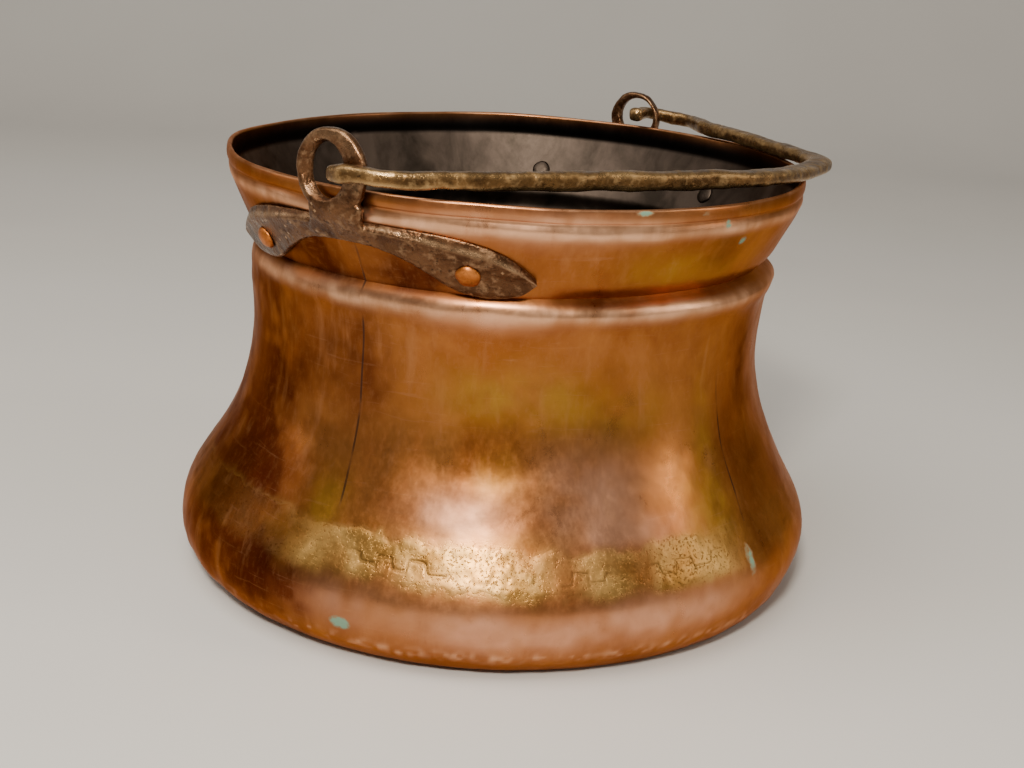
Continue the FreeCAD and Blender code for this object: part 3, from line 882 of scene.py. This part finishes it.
def attribute(tree, name):
    """A point attribute's number."""
    node = tree.nodes.new("ShaderNodeAttribute")
    node.attribute_name = name
    return node.outputs["Fac"]


def bump(tree, shader, layers):
    """Chain bump layers of (height socket, strength, distance in mm) into the shader."""
    normal = None
    for height, strength, distance in layers:
        node = tree.nodes.new("ShaderNodeBump")
        node.inputs["Strength"].default_value = strength
        node.inputs["Distance"].default_value = distance * MM
        tree.links.new(height, node.inputs["Height"])
        if normal is not None:
            tree.links.new(normal, node.inputs["Normal"])
        normal = node.outputs["Normal"]
    tree.links.new(normal, shader.inputs["Normal"])


def copper_noises(tree, coords):
    """The noises that mottle copper, from broad patches to scratches."""
    return {
        "big": noise_node(tree, coords, 16.0, 5.0, 0.6, 0.5),
        "middle": noise_node(tree, stretched(tree, coords, (1.0, 1.0, 0.6)), 46.0, 6.0, 0.62, 0.4),
        "fine": noise_node(tree, coords, 260.0, 6.0, 0.68),
        "pits": noise_node(tree, coords, 620.0, 3.0, 0.6),
        "streaks": noise_node(tree, stretched(tree, coords, (1.0, 1.0, 0.16)), 120.0, 4.0, 0.6),
        "speckle": noise_node(tree, coords, 780.0, 3.0, 0.6),
        "grain": noise_node(tree, stretched(tree, coords, (1.0, 1.0, 0.5)), 420.0, 5.0, 0.75),
        "scratches": noise_node(tree, stretched(tree, coords, (0.22, 0.22, 3.2)), 170.0, 4.0, 0.7, 0.6),
    }


def broken(tree, name, noise, low, high, least):
    """A point attribute broken up by a noise, down to its least share."""
    return math_node(tree, "MULTIPLY", attribute(tree, name), ramp(tree, noise, low, high, least, 1.0))


def tarnished_colour(tree, noises, dark):
    """Brown copper with gold, pink and dark patches, streaks, specks and edge wear; the pink patches and the
    edge mark carry painted highlight, the dark ones painted shade.
    """
    big, middle = noises["big"], noises["middle"]
    colour = mix(tree, ramp(tree, big, 0.36, 0.62), (0.28, 0.085, 0.020), (0.41, 0.155, 0.042))
    colour = mix(tree, ramp(tree, middle, 0.44, 0.72, 0.0, 0.5), colour, (0.22, 0.062, 0.016))
    colour = mix(tree, broken(tree, "gold", middle, 0.30, 0.60, 0.45), colour, (0.38, 0.185, 0.028))
    # The pink patches towards the front are partly painted highlight and sheen.
    colour = mix(tree, broken(tree, "pink", big, 0.34, 0.60, 0.45), colour, (0.68, 0.335, 0.20))
    # Painted shade and dark reflection: the large dark patches turn the copper near black-brown.
    dark_colour = mix(tree, ramp(tree, big, 0.4, 0.6), (0.062, 0.0105, 0.0038), (0.105, 0.020, 0.006))
    colour = mix(tree, dark, colour, dark_colour)
    for name, low, high, share, flecks in (("streaks", 0.56, 0.80, 0.22, (0.64, 0.32, 0.14)),
                                           ("fine", 0.58, 0.80, 0.22, (0.17, 0.060, 0.020)),
                                           ("grain", 0.50, 0.70, 0.10, (0.60, 0.28, 0.12)),
                                           ("scratches", 0.60, 0.76, 0.16, (0.64, 0.33, 0.17))):
        colour = mix(tree, ramp(tree, noises[name], low, high, 0.0, share), colour, flecks)
    # Edge wear and painted highlights and glints turn pale orange.
    return mix(tree, broken(tree, "edge_wear_and_highlight", middle, 0.32, 0.58, 0.35), colour, (0.82, 0.46, 0.27))


def brazed_colour(tree, noises, colour):
    """The colour with speckled brass over it, and the dark line of the cramps."""
    clouds = ramp(tree, noises["middle"], 0.36, 0.64)
    brass_colour = mix(tree, clouds, (0.30, 0.150, 0.034), (0.60, 0.36, 0.115))
    specks = ramp(tree, noises["speckle"], 0.56, 0.66, 0.0, 0.75)
    brass_colour = mix(tree, specks, brass_colour, (0.12, 0.060, 0.016))
    colour = mix(tree, broken(tree, "brass", noises["big"], 0.30, 0.50, 0.55), colour, brass_colour)
    cramps = math_node(tree, "MULTIPLY", attribute(tree, "cramp"), 0.6)
    return mix(tree, cramps, colour, (0.085, 0.042, 0.016))


def tin_colour(tree, noises):
    """Grey-brown tarnished tin of the lining."""
    tin = mix(tree, ramp(tree, noises["middle"], 0.38, 0.64), (0.034, 0.026, 0.020), (0.085, 0.063, 0.050))
    return mix(tree, ramp(tree, noises["big"], 0.52, 0.70, 0.0, 0.6), tin, (0.12, 0.088, 0.068))


def copper_material(name, gap=False):
    """Old copper: patches with painted highlight and shade, edge wear, verdigris, brass, a tarnished lining
    and painted shade inside the neck.
    """
    material, tree, shader = new_material(name)
    coords = tree.nodes.new("ShaderNodeTexCoord").outputs["Object"]
    noises = copper_noises(tree, coords)
    fine, middle = noises["fine"], noises["middle"]
    dark = broken(tree, "dark", middle, 0.32, 0.60, 0.84)
    brass = attribute(tree, "brass")
    lining = attribute(tree, "lining")
    patina = math_node(tree, "MULTIPLY", attribute(tree, "green"), ramp(tree, fine, 0.3, 0.6, 0.5, 1.5))
    green = ramp(tree, patina, 0.30, 0.75)
    colour = brazed_colour(tree, noises, tarnished_colour(tree, noises, dark))
    colour = mix(tree, green, colour, (0.16, 0.27, 0.19))
    colour = mix(tree, lining, colour, tin_colour(tree, noises))
    # Painted shade: the near-black band inside the neck.
    colour = mix(tree, attribute(tree, "painted_neck_shade"), colour, (0.010, 0.008, 0.007))
    if gap:
        colour = mix(tree, attribute(tree, "gap"), colour, (0.030, 0.022, 0.020))
    tree.links.new(colour, shader.inputs["Base Color"])
    shader.inputs["Specular Tint"].default_value = (0.80, 0.53, 0.42, 1.0)
    metal = math_node(tree, "SUBTRACT", 1.0, math_node(tree, "MULTIPLY", green, 0.9))
    tree.links.new(metal, shader.inputs["Metallic"])
    rough = ramp(tree, middle, 0.30, 0.70, 0.25, 0.40)
    rough = math_node(tree, "ADD", rough, ramp(tree, fine, 0.5, 0.8, 0.0, 0.06))
    rough = math_node(tree, "ADD", rough, ramp(tree, noises["grain"], 0.42, 0.62, -0.01, 0.03))
    for share, extra in ((dark, 0.06), (brass, 0.04), (lining, 0.14), (green, 0.35)):
        rough = math_node(tree, "ADD", rough, math_node(tree, "MULTIPLY", share, extra))
    tree.links.new(rough, shader.inputs["Roughness"])
    hammer = noise_node(tree, coords, 95.0, 2.0, 0.4)
    brass_pits = math_node(tree, "MULTIPLY", ramp(tree, noises["speckle"], 0.56, 0.66, 1.0, 0.0), brass)
    bump(tree, shader, [(hammer, 0.38, 0.40), (noises["streaks"], 0.08, 0.15), (fine, 0.12, 0.08),
                        (noises["pits"], 0.10, 0.06), (noises["scratches"], 0.06, 0.06),
                        (brass_pits, 0.35, 0.25)])
    return material


def iron_material(name, dark, light, wear_and_highlight_colour, seed):
    """Forged iron under brown oxide, lighter on its edges and marked ridges as edge wear and painted
    highlight.
    """
    material, tree, shader = new_material(name)
    coords = tree.nodes.new("ShaderNodeTexCoord").outputs["Object"]
    coords = stretched(tree, coords, (1.0, 1.0, 1.0 + seed * 0.01))
    blotch = noise_node(tree, coords, 60.0, 6.0, 0.62, 0.5)
    scale_marks = noise_node(tree, coords, 210.0, 5.0, 0.65)
    pits = noise_node(tree, coords, 520.0, 4.0, 0.7)
    colour = mix(tree, ramp(tree, blotch, 0.34, 0.64), dark, light)
    colour = mix(tree, ramp(tree, scale_marks, 0.52, 0.70, 0.0, 0.6), colour, wear_and_highlight_colour)
    colour = mix(tree, ramp(tree, pits, 0.56, 0.70, 0.0, 0.85), colour, tuple(c * 0.35 for c in dark))
    geometry = tree.nodes.new("ShaderNodeNewGeometry")
    # Edge lightening is edge wear that also stands in as a painted highlight on the bevels and corners.
    edge = ramp(tree, geometry.outputs["Pointiness"], 0.512, 0.56, 0.0, 0.8)
    edge = math_node(tree, "MAXIMUM", edge, attribute(tree, "ridge"))
    colour = mix(tree, edge, colour, wear_and_highlight_colour)
    tree.links.new(colour, shader.inputs["Base Color"])
    shader.inputs["Metallic"].default_value = 0.9
    rough = math_node(tree, "SUBTRACT", ramp(tree, scale_marks, 0.3, 0.7, 0.22, 0.46),
                      math_node(tree, "MULTIPLY", edge, 0.12))
    tree.links.new(rough, shader.inputs["Roughness"])
    bump(tree, shader, [(blotch, 0.40, 0.8), (scale_marks, 0.75, 0.7), (pits, 0.55, 0.35)])
    return material


def rivet_material():
    """Orange copper, browned in its hollows, tinned where it shows inside the pot."""
    material, tree, shader = new_material("rivet_copper")
    coords = tree.nodes.new("ShaderNodeTexCoord").outputs["Object"]
    blotch = noise_node(tree, coords, 110.0, 5.0, 0.6, 0.4)
    grain = noise_node(tree, coords, 480.0, 5.0, 0.7)
    colour = mix(tree, ramp(tree, blotch, 0.36, 0.62), (0.30, 0.085, 0.018), (0.56, 0.19, 0.045))
    colour = mix(tree, ramp(tree, grain, 0.56, 0.74, 0.0, 0.7), colour, (0.12, 0.035, 0.010))
    lining = attribute(tree, "lining")
    colour = mix(tree, lining, colour, mix(tree, blotch, (0.022, 0.016, 0.012), (0.085, 0.064, 0.050)))
    tree.links.new(colour, shader.inputs["Base Color"])
    shader.inputs["Metallic"].default_value = 1.0
    tree.links.new(ramp(tree, grain, 0.3, 0.75, 0.34, 0.58), shader.inputs["Roughness"])
    bump(tree, shader, [(blotch, 0.3, 0.4), (grain, 0.4, 0.2)])
    return material


def stage_material():
    """Plain pale floor and backdrop."""
    material, tree, shader = new_material("pale_stage")
    coords = tree.nodes.new("ShaderNodeTexCoord").outputs["Object"]
    soft = noise_node(tree, coords, 3.0, 3.0, 0.5)
    tree.links.new(mix(tree, ramp(tree, soft, 0.3, 0.7), (0.60, 0.585, 0.56), (0.63, 0.615, 0.59)),
                   shader.inputs["Base Color"])
    shader.inputs["Roughness"].default_value = 0.75
    return material


MATERIALS = {
    "copper": copper_material("old_copper"),
    "spelter": copper_material("brass_spelter"),
    "seam": copper_material("seam_spelter", gap=True),
    "ear_iron": iron_material("ear_iron", (0.060, 0.023, 0.009), (0.145, 0.066, 0.029),
                              (0.38, 0.23, 0.125), 1),
    "bail_iron": iron_material("bail_iron", (0.070, 0.033, 0.011), (0.20, 0.105, 0.036),
                               (0.56, 0.36, 0.16), 5),
    "rivet": rivet_material(),
}


# ---------------------------------------------------------------- the stage

# In metres and radians: the camera looks down at the pot from a little above its rim, slightly tilted.
CAMERA_DISTANCE = 0.7475
CAMERA_HEIGHT = 0.3175
CAMERA_AZIMUTH = math.radians(-60.0)
CAMERA_PAN = 0.0069
CAMERA_PITCH = math.radians(17.2)
CAMERA_ROLL = math.radians(3.35)
CAMERA_LENS = 55.3
LIGHT_AIM = Vector((0.0, 0.0, 0.10))
# The floor runs to the backdrop's curve, which rises to the top.
FLOOR_NEAR = -2.2
FLOOR_FAR = 1.3
CURVE_R = 0.6
BACKDROP_TOP = 2.6
STAGE_HALF = 3.0


def add_camera():
    """The camera, turned by its pan, pitch and roll from looking level at the pot's axis."""
    data = bpy.data.cameras.new("camera")
    data.lens = CAMERA_LENS
    data.sensor_width = 36.0
    camera = bpy.data.objects.new("camera", data)
    bpy.context.scene.collection.objects.link(camera)
    heading = CAMERA_AZIMUTH + math.pi - CAMERA_PAN
    flat = math.cos(CAMERA_PITCH)
    ahead = Vector((math.cos(heading) * flat, math.sin(heading) * flat, -math.sin(CAMERA_PITCH)))
    level = Vector((math.sin(heading), -math.cos(heading), 0.0))
    up = level.cross(ahead)
    right = level * math.cos(CAMERA_ROLL) + up * math.sin(CAMERA_ROLL)
    top = up * math.cos(CAMERA_ROLL) - level * math.sin(CAMERA_ROLL)
    place = Matrix((right, top, -ahead)).transposed().to_4x4()
    place.translation = (CAMERA_DISTANCE * math.cos(CAMERA_AZIMUTH),
                         CAMERA_DISTANCE * math.sin(CAMERA_AZIMUTH), CAMERA_HEIGHT)
    camera.matrix_world = place
    bpy.context.scene.camera = camera


def add_softbox(name, azimuth, distance, height, size, power, colour):
    """A soft area light at an angle in degrees round the pot, aimed at its middle."""
    data = bpy.data.lights.new(name, "AREA")
    data.shape = "RECTANGLE"
    data.size, data.size_y = size
    data.energy = power
    data.color = colour
    light = bpy.data.objects.new(name, data)
    bpy.context.scene.collection.objects.link(light)
    a = math.radians(azimuth)
    light.location = (distance * math.cos(a), distance * math.sin(a), height)
    light.rotation_euler = (LIGHT_AIM - light.location).to_track_quat("-Z", "Y").to_euler()


def add_stage():
    """A pale floor that curves up into a backdrop on the far side."""
    away = CAMERA_AZIMUTH + math.pi
    line = [(FLOOR_NEAR, 0.0), (FLOOR_FAR, 0.0)]
    line += [(FLOOR_FAR + CURVE_R * math.sin(a), CURVE_R - CURVE_R * math.cos(a))
             for a in np.linspace(0.1, math.pi / 2, 14)]
    line.append((FLOOR_FAR + CURVE_R, BACKDROP_TOP))
    verts, faces = [], []
    for side in (-STAGE_HALF, STAGE_HALF):
        for along, height in line:
            verts.append((along * math.cos(away) - side * math.sin(away),
                          along * math.sin(away) + side * math.cos(away), height))
    count = len(line)
    for i in range(count - 1):
        faces.append((i, i + 1, count + i + 1, count + i))
    floor = make_object("stage_floor", np.array(verts) / MM, faces)
    floor.data.materials.append(stage_material())


def add_lights():
    """Soft studio light: a small softbox above the camera, an overhead one and dim fills."""
    camera_deg = math.degrees(CAMERA_AZIMUTH)
    add_softbox("key", camera_deg - 6.0, 1.05, 0.88, (0.17, 0.17), 16.0, (1.0, 0.93, 0.82))
    add_softbox("overhead", camera_deg - 40.0, 0.7, 1.5, (1.3, 1.3), 20.0, (1.0, 0.95, 0.87))
    add_softbox("right_fill", camera_deg + 75.0, 1.6, 0.8, (0.4, 1.2), 6.0, (1.0, 0.91, 0.80))
    add_softbox("left_fill", camera_deg - 95.0, 1.6, 0.7, (0.4, 1.2), 3.0, (1.0, 0.93, 0.86))
    world = bpy.data.worlds.new("studio")
    world.use_nodes = True
    background = world.node_tree.nodes["Background"]
    background.inputs["Color"].default_value = (0.80, 0.74, 0.66, 1.0)
    background.inputs["Strength"].default_value = 0.34
    bpy.context.scene.world = world


add_camera()
build_pan()
build_wall("front_wall_sheet", LEFT_SEAM + SEAM_HALF, RIGHT_SEAM - SEAM_HALF)
build_wall("main_wall_sheet", RIGHT_SEAM + SEAM_HALF, LEFT_SEAM + 2 * math.pi - SEAM_HALF)
build_seam("left_seam_braze", LEFT_SEAM, 64, 182)
build_seam("right_seam_braze", RIGHT_SEAM, 34, 118)
build_band()
build_ear("front_ear", -1)
build_ear("back_ear", 1)
rivet_nodes = ("rivet_front_left", "rivet_front_right", "rivet_back_left", "rivet_back_right")
for seed, rivet_node in enumerate(rivet_nodes, start=1):
    build_rivet(rivet_node, seed)
build_bail()
add_stage()
add_lights()
